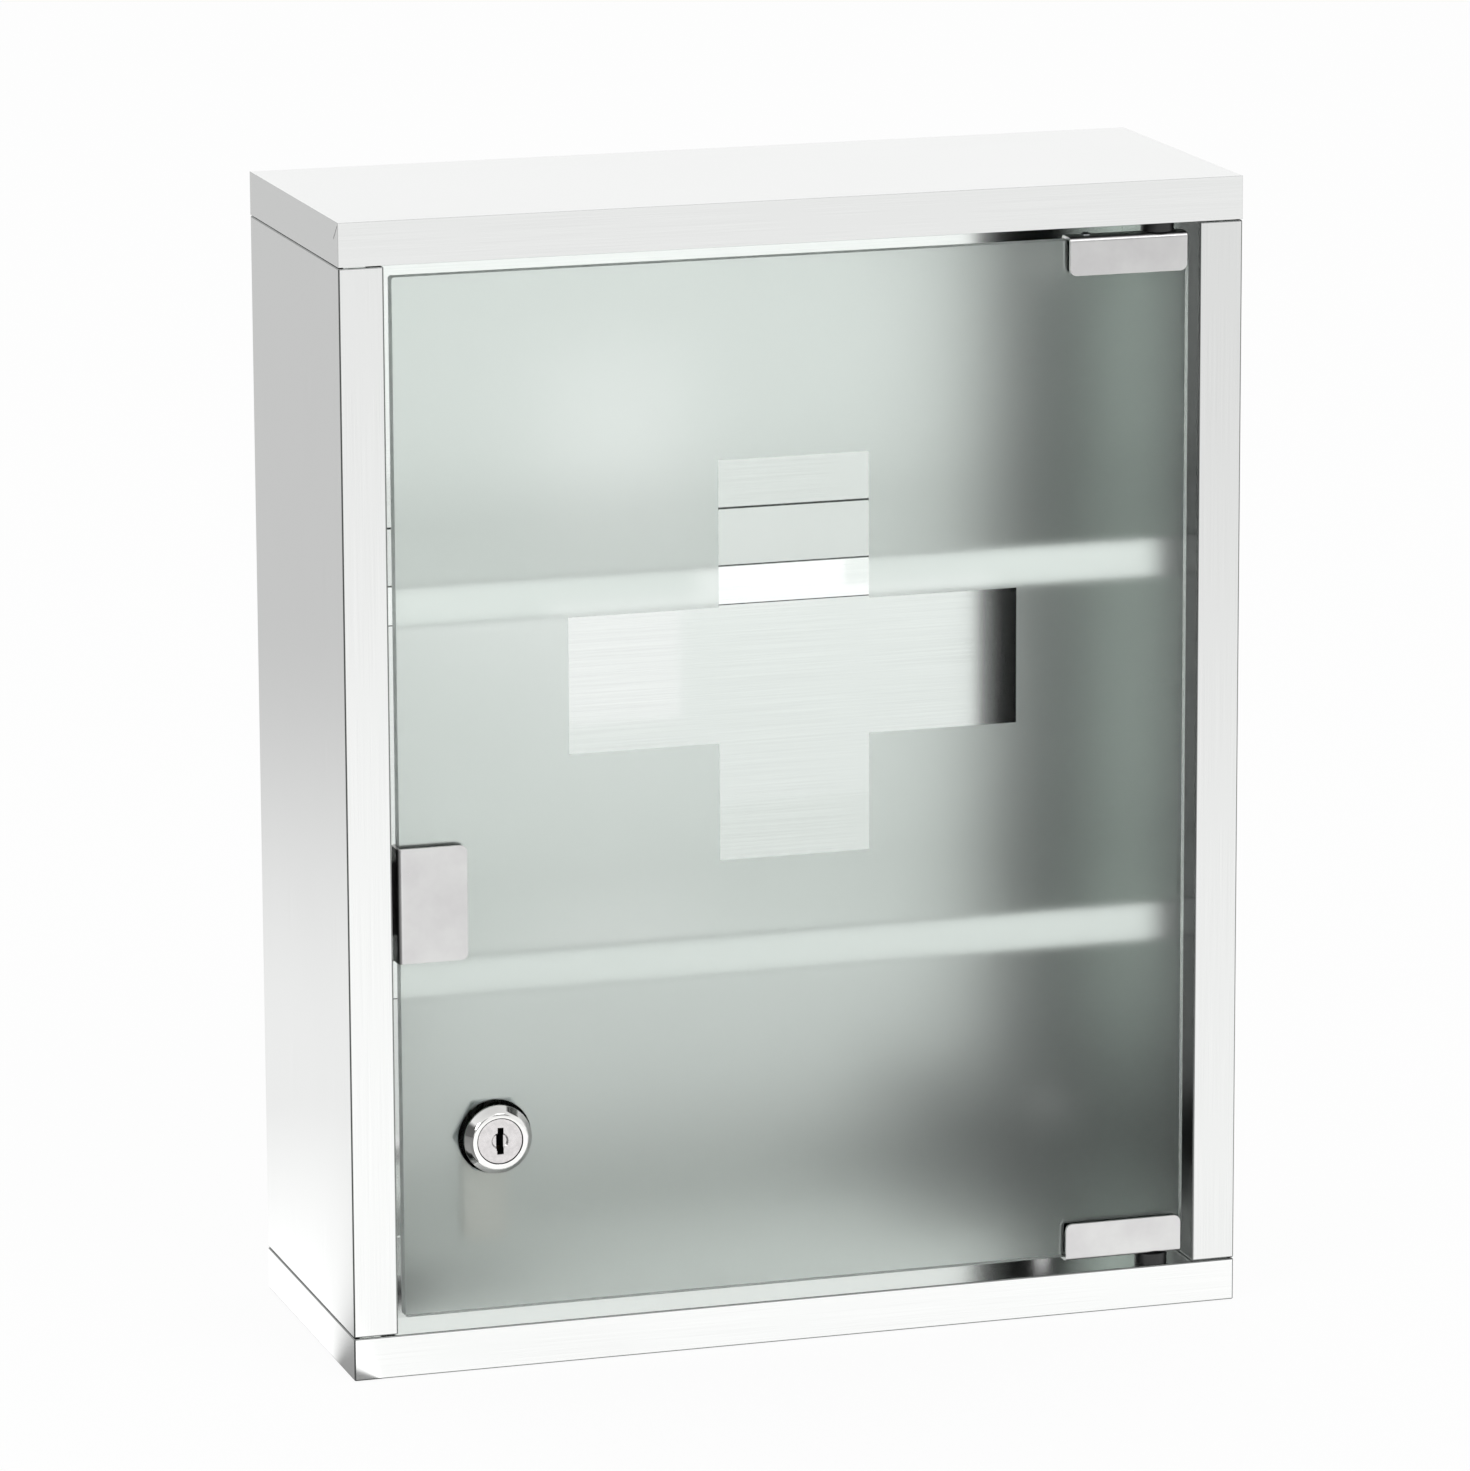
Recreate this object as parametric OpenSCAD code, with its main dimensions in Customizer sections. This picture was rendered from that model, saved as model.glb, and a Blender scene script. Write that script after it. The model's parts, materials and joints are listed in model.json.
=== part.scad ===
// Lockable medicine cabinet: a folded stainless casing with two fixed shelves,
// and an etched glass door on corner pivots, closed by a cam lock.
// Axes: +X to the right seen from the front, +Y towards the wall, +Z up.
// Origin: middle of the base, on its underside. Millimetres.

/* [Casing] */
// Outside width of the casing
case_w = 320; // [260:5:480]
// Outside depth of the casing, from its front face to the wall
case_d = 120; // [100:5:200]
// Outside height of the casing
case_h = 400; // [350:5:600]
// Thickness of the folded sheet
sheet_t = 1; // [0.8:0.1:1.5]
// Width of the upright face strips
stile_w = 15.5; // [12:0.5:25]
// Height of the top and bottom face strips
strip_h = 15; // [12:0.5:25]
// Depth of the returns folded in behind the face strips
return_d = 20; // [16:1:30]
// Width of the flanges folded in at the back of the side panels
rear_flange_w = 12; // [8:1:20]
// Seam between the side panels and the two shells
seam_gap = 0.3; // [0.2:0.05:0.6]
// Length of the diagonal mitre slit at the upper front corners
mitre_l = 7; // [4:0.5:10]

/* [Shelves] */
// Height of the lower shelf's top face above the base
lower_shelf_z = 142; // [130:1:160]
// Height of the upper shelf's top face above the base
upper_shelf_z = 272; // [220:1:300]
// Height of the lip folded down at a shelf's front
shelf_lip_h = 14; // [8:1:20]
// Depth of the hem folded back under a shelf's lip
shelf_hem_d = 8; // [4:1:12]
// Height of the flanges that join a shelf to the side panels
shelf_flange_h = 12; // [8:1:16]
// Gap between a shelf's lip and the returns in front of it
shelf_front_gap = 0.4; // [0.3:0.1:0.8]
// Gap between a shelf and the back panel
shelf_rear_gap = 1.4; // [0.5:0.1:3]

/* [Wall fixing] */
// Diameter of the four wall fixing holes
wall_hole_d = 6.5; // [4.5:0.5:9]
// Distance of the wall holes from the casing's sides
wall_hole_side = 30; // [22:1:60]
// Distance of the wall holes from the casing's top and base
wall_hole_end = 45; // [30:1:60]

/* [Door glass] */
// Thickness of the glass
glass_t = 5; // [4:0.5:6]
// How far the glass lies behind the casing's front face
glass_recess = 2.4; // [2:0.1:5]
// Gap between the glass and the stiles
door_gap_side = 3.3; // [2.5:0.1:6]
// Gap between the glass and the top strip
door_gap_top = 4.6; // [3.5:0.1:8]
// Gap between the glass and the bottom strip
door_gap_bottom = 5.4; // [3.5:0.1:8]
// Radius of the glass's corners
glass_corner_r = 1; // [0.5:0.5:4]
// Depth of the etched, frosted surface on the back of the glass
etch_depth = 0.1; // [0.05:0.05:0.2]
// Width of the clear cross
cross_w = 160.5; // [120:0.5:180]
// Width of the clear cross's upright
cross_upright_w = 53.8; // [30:0.2:70]
// Height of the clear cross's arms
cross_arm_h = 47.4; // [30:0.2:60]
// Reach of the cross above its arms
cross_rise = 51; // [30:0.1:60]
// Reach of the cross below its arms
cross_drop = 41; // [30:0.1:60]
// Height of the arms' lower edge above the glass's bottom edge
cross_arm_z = 192.4; // [150:0.1:220]

/* [Clips] */
// Sheet thickness of the clips that hold the glass
clip_t = 1.2; // [1:0.1:1.5]
// Thickness of the rubber pads between clip and glass
pad_t = 0.8; // [0.5:0.1:0.9]
// Outside radius of the clips' bends
clip_bend_r = 1.8; // [1.6:0.1:2.5]
// Radius of the clips' free corners
clip_corner_r = 2.5; // [1:0.5:4]
// Width of a hinge clip
hinge_clip_w = 42.5; // [36:0.5:60]
// Height of a hinge clip
hinge_clip_h = 13.3; // [12:0.1:20]
// Distance of the hinge clips from the glass's edge
hinge_clip_inset = 1.1; // [0.5:0.1:3]
// Reach of the handle clip from its bend to its free edge
handle_w = 24.5; // [22:0.5:40]
// Height of the handle clip
handle_h = 40; // [34:1:60]
// Height of the handle clip's lower edge above the glass's bottom edge
handle_rise = 124.8; // [110:0.1:140]

/* [Pivots] */
// Distance of the pivot axis from the glass's edge
pivot_inset = 10.2; // [9:0.1:12]
// Distance of the pivot axis in front of the glass's back
pivot_from_back = 1.5; // [1:0.1:2.5]
// Diameter of the pivot pins
pin_d = 4; // [3:0.2:4.4]
// Diameter of the bushes' flanges
bush_d = 11.4; // [10:0.2:12]
// Diameter of the bushes' spigots, which sit in the returns
bush_spigot_d = 9; // [8:0.5:10]
// Length of a bush's spigot past the sheet it sits in
bush_spigot_l = 3; // [2:0.5:5]
// Gap between a bush and its hinge clip
pivot_gap = 0.3; // [0.2:0.1:0.5]

/* [Lock] */
// Distance of the lock's axis from the glass's edge
lock_inset = 33.2; // [30:0.1:45]
// Height of the lock's axis above the glass's bottom edge
lock_rise = 60.6; // [55:0.1:80]
// Diameter of the lock's threaded barrel
barrel_d = 18; // [17:0.5:19]
// Diameter of the bezel where it meets the gasket
bezel_d = 24; // [23:0.5:28]
// Diameter of the bezel's rim
rim_d = 19.2; // [18.6:0.1:20]
// Height of the bezel above the gasket
bezel_h = 3.6; // [3:0.1:5]
// Thickness of the gasket under the bezel
gasket_t = 0.5; // [0.3:0.1:1]
// Diameter of the plug's face
plug_face_d = 15.6; // [15:0.1:16.6]
// Ring-shaped gap between the plug's face and the bezel's rim
ring_gap = 0.3; // [0.15:0.05:0.5]
// Diameter of the plug's shaft
plug_d = 12; // [11:0.5:13]
// Height of the keyway
keyway_h = 9.4; // [8:0.1:10]
// Width of the keyway
keyway_w = 2.5; // [2:0.1:3]
// Depth of the keyway
keyway_l = 13.4; // [12.6:0.1:14]
// Thickness of the cam
cam_t = 2; // [1.5:0.1:3]
// Width of the cam
cam_w = 16; // [14:0.5:20]
// How far the locked cam reaches past the return's face
cam_hold = 3; // [2:0.5:6]
// Width across the flats of the lock nut
nut_af = 24; // [22:1:27]
// Thickness of the lock nut
nut_t = 4; // [3:0.5:5]
// Thickness of the washer behind the glass
washer_t = 1; // [0.5:0.1:1.2]

/* [Magnetic catch] */
// Width of the catch's housing
catch_w = 14; // [12:0.5:16]
// Depth of the catch's housing
catch_l = 10; // [9:0.5:12]
// Height of the catch's housing
catch_h = 24; // [22:1:30]
// Gap between the catch and the handle clip's rear leg
catch_gap = 0.3; // [0.2:0.1:0.5]

/* [Small screws] */
// Diameter of the clamp screws in the clips
clamp_screw_d = 3; // [2.5:0.5:4]
// Diameter of the clamp screws' heads
clamp_head_d = 5.5; // [5:0.5:6.5]
// Height of the clamp screws' heads
clamp_head_h = 1.8; // [1.5:0.1:2.5]
// Diameter of the catch's screws
catch_screw_d = 3; // [2.5:0.5:3.5]

/* [Hidden] */
$fn = 64;

// Small clearances
slide_fit = 0.05;      // a shaft in its bore, on the radius
turn_gap = 0.15;       // between turning faces that don't bear
over = 1;              // how far a cutter runs past what it cuts

// Casing
half_w = case_w / 2;
half_d = case_d / 2;
open_x = half_w - stile_w;
skin_z = strip_h + seam_gap;
skin_h = case_h - 2 * skin_z;
joggle_h = 3;
tongue_x = half_w - 2 * sheet_t;
inner_fit = 0.2;
inner_x = tongue_x - inner_fit;
back_front_y = half_d - 2 * sheet_t;
slit_w = 0.3;

// Shelves
shelf_y = -half_d + return_d + shelf_front_gap;
shelf_d = back_front_y - shelf_rear_gap - shelf_y;

// Glass, seen from the front
glass_x = -open_x + door_gap_side;
glass_w = -2 * glass_x;
glass_y = -half_d + glass_recess;
glass_back_y = glass_y + glass_t;
glass_z = strip_h + door_gap_bottom;
glass_h = case_h - strip_h - door_gap_top - glass_z;
glass_top_z = glass_z + glass_h;

// Clips: a U of sheet that wraps the glass and two pads
clip_depth = glass_t + 2 * (pad_t + clip_t);
clip_y = glass_y - pad_t - clip_t;
clip_back_y = clip_y + clip_depth;
hinge_clip_x = -glass_x - hinge_clip_inset - hinge_clip_w;
pad_inset = 0.8;
handle_x = glass_x - clip_t;
handle_z = glass_z + handle_rise;

// Pivots
pivot_x = -glass_x - pivot_inset;
pivot_y = glass_back_y - pivot_from_back;
pin_l_in_bush = sheet_t + bush_spigot_l - 0.5;

// Clamp screws: two in the rear leg of each clip
clamp_spread = 17;
clamp_x = [pivot_x - 9 - clamp_spread, pivot_x - 9];
clamp_drop = 8;
handle_screw_x = handle_x + handle_w - 6;
handle_screw_z = [handle_z + handle_h / 2 - 12, handle_z + handle_h / 2 + 12];
drive_w = 0.7;
height_screw_x = hinge_clip_x + 7.5;
height_screw_d = 2;
height_head_d = 3.4;
height_head_h = 0.8;

// Lock; its own axis runs out of the glass, from the glass's front face
lock_x = glass_x + lock_inset;
lock_z = glass_z + lock_rise;
cam_clear = 1;
cam_y = -half_d + return_d + cam_clear;
rim_z = gasket_t + bezel_h;
bezel_edge_h = 0.8;
head_l = 2;
head_recess = 0.3;
head_z = rim_z - head_recess;
cam_z = glass_y - cam_y;
barrel_z = cam_z + 0.3;
plug_bore_d = plug_d + 4 * slide_fit;
cam_reach = lock_x + open_x + sheet_t + cam_hold;
nut_seat_z = etch_depth - glass_t - washer_t;
tail_w = 7;
tail_l = cam_t - 0.2;
cam_screw_d = 4;
cam_head_d = 8;
cam_head_h = 2.4;
cam_washer_d = 10;
cam_washer_t = 0.8;
wafer_count = 5;
wafer_t = 0.6;
wafer_pitch = 1.9;
wafer_depth = 1;
wafer_w = 6.4;
wafer_gap = 0.1;
wafer_window_w = keyway_w + 0.4;
wafer_window_h = 5.6;

// Catch, on the left return behind the handle clip
catch_x = -open_x;
catch_y = clip_back_y + catch_gap;
catch_z = handle_z + (handle_h - catch_h) / 2;
magnet_w = 8;
magnet_l = 3;
magnet_h = 16;
magnet_fit = 0.1;
catch_screw_y = -half_d + return_d - 4.5;
catch_screw_z = [catch_z + 4, catch_z + catch_h - 4];
catch_head_d = 5;
catch_head_h = 1.4;
catch_tip = 1.5;

// Finishes, as the object shows them
steel = "#D9DBDB";
steel_dark = "#B9BCBC";
black = "#1B1C1C";
glass_tint = "#B9C8C1";
chrome = "#E4E6E6";
brass = "#B99A55";

// ---------- shared shapes ----------

// A flat shape in the X-Z plane, made into a plate whose front face is at y
module upright(y, t) {
  translate([0, y + t, 0])
    rotate([90, 0, 0])
      linear_extrude(t)
        children();
}

// A rectangle with round corners
module round_rect(w, h, r) {
  translate([r, 0])
    square([w - 2 * r, h]);
  translate([0, r])
    square([w, h - 2 * r]);
  for (x = [r, w - r], z = [r, h - r])
    translate([x, z])
      circle(r);
}

// A rectangle whose two upper corners are round
module round_top(w, h, r) {
  square([w, h - r]);
  translate([r, 0])
    square([w - 2 * r, h]);
  for (x = [r, w - r])
    translate([x, h - r])
      circle(r);
}

// A clip bent from strip: two legs down, bend on top, front leg at y = 0
module u_clip(w, leg) {
  intersection() {
    rotate([90, 0, 90])
      linear_extrude(w)
        difference() {
          round_top(clip_depth, leg, clip_bend_r);
          translate([clip_t, -over])
            square([clip_depth - 2 * clip_t, leg - clip_t + over]);
        }
    translate([0, clip_depth, 0])
      rotate([90, 0, 0])
        linear_extrude(clip_depth)
          translate([0, leg])
            mirror([0, 1])
              union() {
                square([w, leg - clip_corner_r]);
                translate([clip_corner_r, 0])
                  square([w - 2 * clip_corner_r, leg]);
                for (x = [clip_corner_r, w - clip_corner_r])
                  translate([x, leg - clip_corner_r])
                    circle(clip_corner_r);
              }
  }
}

// The pair of pads inside a clip: the rear one reaches the etched surface
module clip_pads(w, leg) {
  pad_w = w - 2 * pad_inset;
  pad_h = leg - clip_t - 2 * pad_inset;
  translate([pad_inset, clip_t, pad_inset])
    cube([pad_w, pad_t, pad_h]);
  translate([pad_inset, clip_depth - clip_t - pad_t - etch_depth, pad_inset])
    cube([pad_w, pad_t + etch_depth, pad_h]);
}

// A pan-headed screw: the head's seat is at z = 0, the shank runs down
module pan_screw(d, l, head_d, head_h) {
  difference() {
    union() {
      translate([0, 0, -l])
        cylinder(d = d, h = l);
      rotate_extrude()
        polygon([
          [0, 0], [head_d / 2, 0], [head_d / 2, head_h * 0.5],
          [head_d * 0.42, head_h * 0.85], [head_d * 0.3, head_h], [0, head_h]
        ]);
    }
    for (a = [0, 90])
      rotate([0, 0, a])
        translate([-head_d * 0.28, -drive_w / 2, head_h * 0.45])
          cube([head_d * 0.56, drive_w, head_h]);
  }
}

// Turns a shape so that its own +Z points out of the front at the lock's axis
module at_lock() {
  translate([lock_x, glass_y, lock_z])
    rotate([90, 0, 0])
      children();
}

// Mirrors what belongs at the casing's base to its top
module at_top() {
  translate([0, 0, case_h])
    mirror([0, 0, 1])
      children();
}

// ---------- casing ----------

// A tray whose rims wrap the casing's end, with a return behind the front rim
module shell() {
  difference() {
    union() {
      translate([-half_w, -half_d, 0])
        cube([case_w, case_d, sheet_t]);
      translate([-half_w, -half_d, 0])
        cube([case_w, sheet_t, strip_h]);
      for (x = [-half_w, half_w - sheet_t])
        translate([x, -half_d, 0])
          cube([sheet_t, case_d, strip_h]);
      translate([-inner_x, -half_d, strip_h - sheet_t])
        cube([2 * inner_x, return_d, sheet_t]);
      translate([-inner_x, back_front_y - sheet_t, 0])
        cube([2 * inner_x, sheet_t, strip_h]);
    }
    translate([pivot_x, pivot_y, strip_h - sheet_t - over])
      cylinder(d = bush_spigot_d + 2 * slide_fit, h = sheet_t + 2 * over);
  }
}

module bottom_shell() {
  color(steel)
    shell();
}

// The upper shell's flanges meet its front rim on a slanting mitre
module top_shell() {
  color(steel)
    difference() {
      at_top()
        shell();
      for (x = [-half_w - over, half_w - sheet_t])
        translate([x, -half_d + sheet_t, case_h - sheet_t])
          rotate([-45, 0, 0])
            translate([0, 0, -slit_w])
              cube([sheet_t + over, mitre_l, slit_w]);
    }
}

// The left panel: skin, face strip, return, rear flange and two tucked tongues
module side_panel() {
  tongue_y = -half_d + sheet_t + inner_fit;
  tongue_h = strip_h + seam_gap + joggle_h - sheet_t;
  translate([-half_w, -half_d, skin_z])
    cube([sheet_t, case_d, skin_h]);
  for (z = [sheet_t, case_h - sheet_t - tongue_h])
    translate([-half_w + sheet_t, tongue_y, z])
      cube([sheet_t, back_front_y - tongue_y, tongue_h]);
  translate([-half_w, -half_d, skin_z])
    cube([stile_w, sheet_t, skin_h]);
  translate([-open_x - sheet_t, -half_d, skin_z])
    cube([sheet_t, return_d, skin_h]);
  translate([-half_w, half_d - sheet_t, skin_z])
    cube([rear_flange_w, sheet_t, skin_h]);
}

module left_side_panel() {
  color(steel)
    difference() {
      side_panel();
      for (z = catch_screw_z)
        translate([-open_x + over, catch_screw_y, z])
          rotate([0, -90, 0])
            cylinder(d = catch_screw_d + 2 * slide_fit, h = sheet_t + 2 * over);
    }
}

module right_side_panel() {
  color(steel)
    mirror([1, 0, 0])
      side_panel();
}

module back_panel() {
  color(steel_dark)
    difference() {
      translate([-half_w + sheet_t, back_front_y, sheet_t])
        cube([case_w - 2 * sheet_t, sheet_t, case_h - 2 * sheet_t]);
      for (x = [-half_w + wall_hole_side, half_w - wall_hole_side])
        for (z = [wall_hole_end, case_h - wall_hole_end])
          translate([x, back_front_y - over, z])
            rotate([-90, 0, 0])
              cylinder(d = wall_hole_d, h = sheet_t + 2 * over);
    }
}

// A shelf whose top face is at z: plate, front lip with hem, two side flanges
module shelf(z) {
  shelf_x = half_w - sheet_t;
  flange_y = shelf_y + shelf_hem_d;
  translate([-shelf_x, shelf_y, z - sheet_t])
    cube([2 * shelf_x, shelf_d, sheet_t]);
  translate([-shelf_x, shelf_y, z - shelf_lip_h])
    cube([2 * shelf_x, sheet_t, shelf_lip_h]);
  translate([-shelf_x, shelf_y, z - shelf_lip_h])
    cube([2 * shelf_x, shelf_hem_d, sheet_t]);
  for (x = [-shelf_x, shelf_x - sheet_t])
    translate([x, flange_y, z - shelf_flange_h])
      cube([sheet_t, shelf_d - shelf_hem_d, shelf_flange_h]);
}

module upper_shelf() {
  color(steel)
    shelf(upper_shelf_z);
}

module lower_shelf() {
  color(steel)
    shelf(lower_shelf_z);
}

// A flanged bush: the flange bears on the return, the spigot goes through it
module pivot_bush(gap) {
  flange_h = gap - clip_t - pivot_gap;
  translate([pivot_x, pivot_y, strip_h])
    difference() {
      union() {
        cylinder(d = bush_d, h = flange_h);
        translate([0, 0, -sheet_t - bush_spigot_l])
          cylinder(d = bush_spigot_d, h = sheet_t + bush_spigot_l);
      }
      translate([0, 0, -sheet_t - bush_spigot_l - over])
        cylinder(d = pin_d + 4 * slide_fit, h = sheet_t + bush_spigot_l + flange_h + 2 * over);
    }
}

module bottom_pivot_bush() {
  color(black)
    pivot_bush(door_gap_bottom);
}

module top_pivot_bush() {
  color(black)
    at_top()
      pivot_bush(door_gap_top);
}

module catch_housing() {
  color(black)
    difference() {
      translate([catch_x, catch_y, catch_z])
        cube([catch_w, catch_l, catch_h]);
      translate([
        catch_x + (catch_w - magnet_w) / 2 - magnet_fit,
        catch_y - over,
        catch_z + (catch_h - magnet_h) / 2 - magnet_fit
      ])
        cube([magnet_w + 2 * magnet_fit, magnet_l + over, magnet_h + 2 * magnet_fit]);
      for (z = catch_screw_z)
        translate([catch_x - over, catch_screw_y, z])
          rotate([0, 90, 0])
            cylinder(d = catch_screw_d + 2 * slide_fit, h = catch_w + 2 * over);
    }
}

module catch_magnet() {
  color("#5C5F60")
    translate([
      catch_x + (catch_w - magnet_w) / 2,
      catch_y,
      catch_z + (catch_h - magnet_h) / 2
    ])
      cube([magnet_w, magnet_l, magnet_h]);
}

module catch_screws() {
  color(chrome)
    for (z = catch_screw_z)
      translate([catch_x + catch_w, catch_screw_y, z])
        rotate([0, 90, 0])
          pan_screw(catch_screw_d, catch_w + sheet_t + catch_tip, catch_head_d, catch_head_h);
}

// ---------- door ----------

// The clear cross, seen from the front
module cross_outline() {
  arm_z = glass_z + cross_arm_z;
  translate([-cross_w / 2, arm_z])
    square([cross_w, cross_arm_h]);
  translate([-cross_upright_w / 2, arm_z - cross_drop])
    square([cross_upright_w, cross_drop + cross_arm_h + cross_rise]);
}

// The pane: its back is etched all over except for the cross
module door_glass() {
  color(glass_tint, 0.75)
    difference() {
      upright(glass_y, glass_t)
        translate([glass_x, glass_z])
          round_rect(glass_w, glass_h, glass_corner_r);
      upright(glass_back_y - etch_depth, etch_depth + over)
        difference() {
          translate([glass_x - over, glass_z - over])
            square([glass_w + 2 * over, glass_h + 2 * over]);
          cross_outline();
        }
      at_lock()
        translate([0, 0, -glass_t - over])
          cylinder(d = barrel_d + 0.6, h = glass_t + 2 * over);
    }
}

// A hinge clip over the upper edge: bend, pivot hole and screw holes
module hinge_clip(edge_z) {
  difference() {
    translate([hinge_clip_x, clip_y, edge_z + clip_t - hinge_clip_h])
      u_clip(hinge_clip_w, hinge_clip_h);
    translate([pivot_x, pivot_y, edge_z - over])
      cylinder(d = pin_d + 2 * slide_fit, h = clip_t + 2 * over);
    translate([height_screw_x, pivot_y, edge_z - over])
      cylinder(d = height_screw_d + 2 * slide_fit, h = clip_t + 2 * over);
    for (x = clamp_x)
      translate([x, clip_back_y - clip_t - pad_t / 2, edge_z - clamp_drop])
        rotate([-90, 0, 0])
          cylinder(d = clamp_screw_d + 2 * slide_fit, h = clip_t + pad_t / 2 + over);
  }
}

// Places what is drawn over the glass's upper edge at its lower edge instead
module at_lower_edge() {
  translate([0, 0, glass_z])
    mirror([0, 0, 1])
      children();
}

module top_hinge_clip() {
  color(steel)
    hinge_clip(glass_top_z);
}

module bottom_hinge_clip() {
  color(steel)
    at_lower_edge()
      hinge_clip(0);
}

module hinge_pads(edge_z) {
  translate([hinge_clip_x, clip_y, edge_z + clip_t - hinge_clip_h])
    clip_pads(hinge_clip_w, hinge_clip_h);
}

module top_hinge_pads() {
  color(black)
    hinge_pads(glass_top_z);
}

module bottom_hinge_pads() {
  color(black)
    at_lower_edge()
      hinge_pads(0);
}

// A pin that stands in the clip and runs through the bush
module pivot_pin(edge_z, gap) {
  translate([pivot_x, pivot_y, edge_z])
    cylinder(d = pin_d, h = gap + pin_l_in_bush);
}

module top_pivot_pin() {
  color(chrome)
    pivot_pin(glass_top_z, door_gap_top);
}

module bottom_pivot_pin() {
  color(chrome)
    at_lower_edge()
      pivot_pin(0, door_gap_bottom);
}

module clamp_screws_at(edge_z) {
  for (x = clamp_x)
    translate([x, clip_back_y, edge_z - clamp_drop])
      rotate([-90, 0, 0])
        pan_screw(clamp_screw_d, clip_t, clamp_head_d, clamp_head_h);
}

module hinge_clamp_screws() {
  color(chrome) {
    clamp_screws_at(glass_top_z);
    at_lower_edge()
      clamp_screws_at(0);
  }
}

module height_screw_at(edge_z) {
  translate([height_screw_x, pivot_y, edge_z + clip_t])
    pan_screw(height_screw_d, clip_t, height_head_d, height_head_h);
}

module hinge_height_screws() {
  color(chrome) {
    height_screw_at(glass_top_z);
    at_lower_edge()
      height_screw_at(0);
  }
}

// Lays an upright clip on its side, bend to the left, for the handle
module at_handle() {
  translate([handle_x + handle_w, clip_y, handle_z])
    rotate([0, -90, 0])
      children();
}

// The pull clip on the free edge: its plain front leg is what the hand takes
module handle_clip() {
  color(steel)
    difference() {
      at_handle()
        u_clip(handle_h, handle_w);
      for (z = handle_screw_z)
        translate([handle_screw_x, clip_back_y - clip_t - pad_t / 2, z])
          rotate([-90, 0, 0])
            cylinder(d = clamp_screw_d + 2 * slide_fit, h = clip_t + pad_t / 2 + over);
    }
}

module handle_pads() {
  color(black)
    at_handle()
      clip_pads(handle_h, handle_w);
}

module handle_clamp_screws() {
  color(chrome)
    for (z = handle_screw_z)
      translate([handle_screw_x, clip_back_y, z])
        rotate([-90, 0, 0])
          pan_screw(clamp_screw_d, clip_t, clamp_head_d, clamp_head_h);
}

// ---------- lock ----------

// Barrel and conical bezel in one, bored for the plug
module lock_housing() {
  color(chrome)
    at_lock()
      rotate_extrude()
        polygon([
          [plug_bore_d / 2, barrel_z],
          [barrel_d / 2, barrel_z],
          [barrel_d / 2, gasket_t],
          [bezel_d / 2, gasket_t],
          [bezel_d / 2, gasket_t + bezel_edge_h],
          [rim_d / 2 + 0.2, rim_z - 0.2],
          [rim_d / 2 - 0.2, rim_z],
          [plug_face_d / 2 + ring_gap, rim_z],
          [plug_face_d / 2 + ring_gap, head_z - head_l - turn_gap],
          [plug_bore_d / 2, head_z - head_l - turn_gap]
        ]);
}

// A flat ring on the lock's axis, its lower face at z
module lock_ring(z, t, bore_d, outer_d) {
  at_lock()
    translate([0, 0, z])
      difference() {
        cylinder(d = outer_d, h = t);
        translate([0, 0, -over])
          cylinder(d = bore_d, h = t + 2 * over);
      }
}

module lock_gasket() {
  color(black)
    lock_ring(0, gasket_t, barrel_d + 2 * slide_fit, bezel_d - 0.6);
}

// A plastic washer, so that the nut doesn't bear on the glass
module lock_washer() {
  color(black)
    lock_ring(nut_seat_z, washer_t, barrel_d + 2 * slide_fit, nut_af + 2);
}

module lock_nut() {
  color(steel_dark)
    at_lock()
      translate([0, 0, nut_seat_z - nut_t])
        difference() {
          cylinder(d = nut_af / cos(30), h = nut_t, $fn = 6);
          translate([0, 0, -over])
            cylinder(d = barrel_d + 2 * slide_fit, h = nut_t + 2 * over);
        }
}

// The slot that takes the key, from the plug's face down: its left wall steps in
// towards both ends, to match the grooves in the key
module keyway() {
  bottom_h = keyway_h * 0.14;
  top_h = keyway_h * 0.27;
  bottom_step = 0.2;
  top_step = 0.4;
  translate([-keyway_w / 2, -keyway_h / 2, head_z - keyway_l]) {
    translate([bottom_step, 0, 0])
      cube([keyway_w - bottom_step, keyway_h / 2, keyway_l + over]);
    translate([0, bottom_h, 0])
      cube([keyway_w, keyway_h - bottom_h - top_h, keyway_l + over]);
    translate([top_step, keyway_h / 2, 0])
      cube([keyway_w - top_step, keyway_h / 2, keyway_l + over]);
  }
}

// Runs its children once at each wafer's place along the plug
module each_wafer() {
  for (i = [0 : wafer_count - 1])
    translate([0, 0, -wafer_depth - i * wafer_pitch])
      children();
}

module lock_plug() {
  tail_z = cam_z - tail_l;
  dish_d = 6;
  dish_h = 0.6;
  color("#CFCFCC")
    at_lock()
      difference() {
        union() {
          translate([0, 0, head_z - head_l])
            cylinder(d = plug_face_d, h = head_l);
          translate([0, 0, cam_z])
            cylinder(d = plug_d, h = head_z - head_l - cam_z);
          translate([-tail_w / 2, -tail_w / 2, tail_z])
            cube([tail_w, tail_w, tail_l]);
        }
        keyway();
        translate([0, 0, head_z - dish_h])
          rotate_extrude()
            polygon([[0, 0], [dish_d / 2 - dish_h, 0], [dish_d / 2, dish_h + 0.01], [0, dish_h + 0.01]]);
        each_wafer()
          translate([-wafer_w / 2 - wafer_gap, -plug_d, -wafer_t - wafer_gap])
            cube([wafer_w + 2 * wafer_gap, 2 * plug_d, wafer_t + 2 * wafer_gap]);
        translate([0, 0, tail_z - over])
          cylinder(d = cam_screw_d + 2 * slide_fit, h = tail_l + 4 + over);
      }
}

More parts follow.
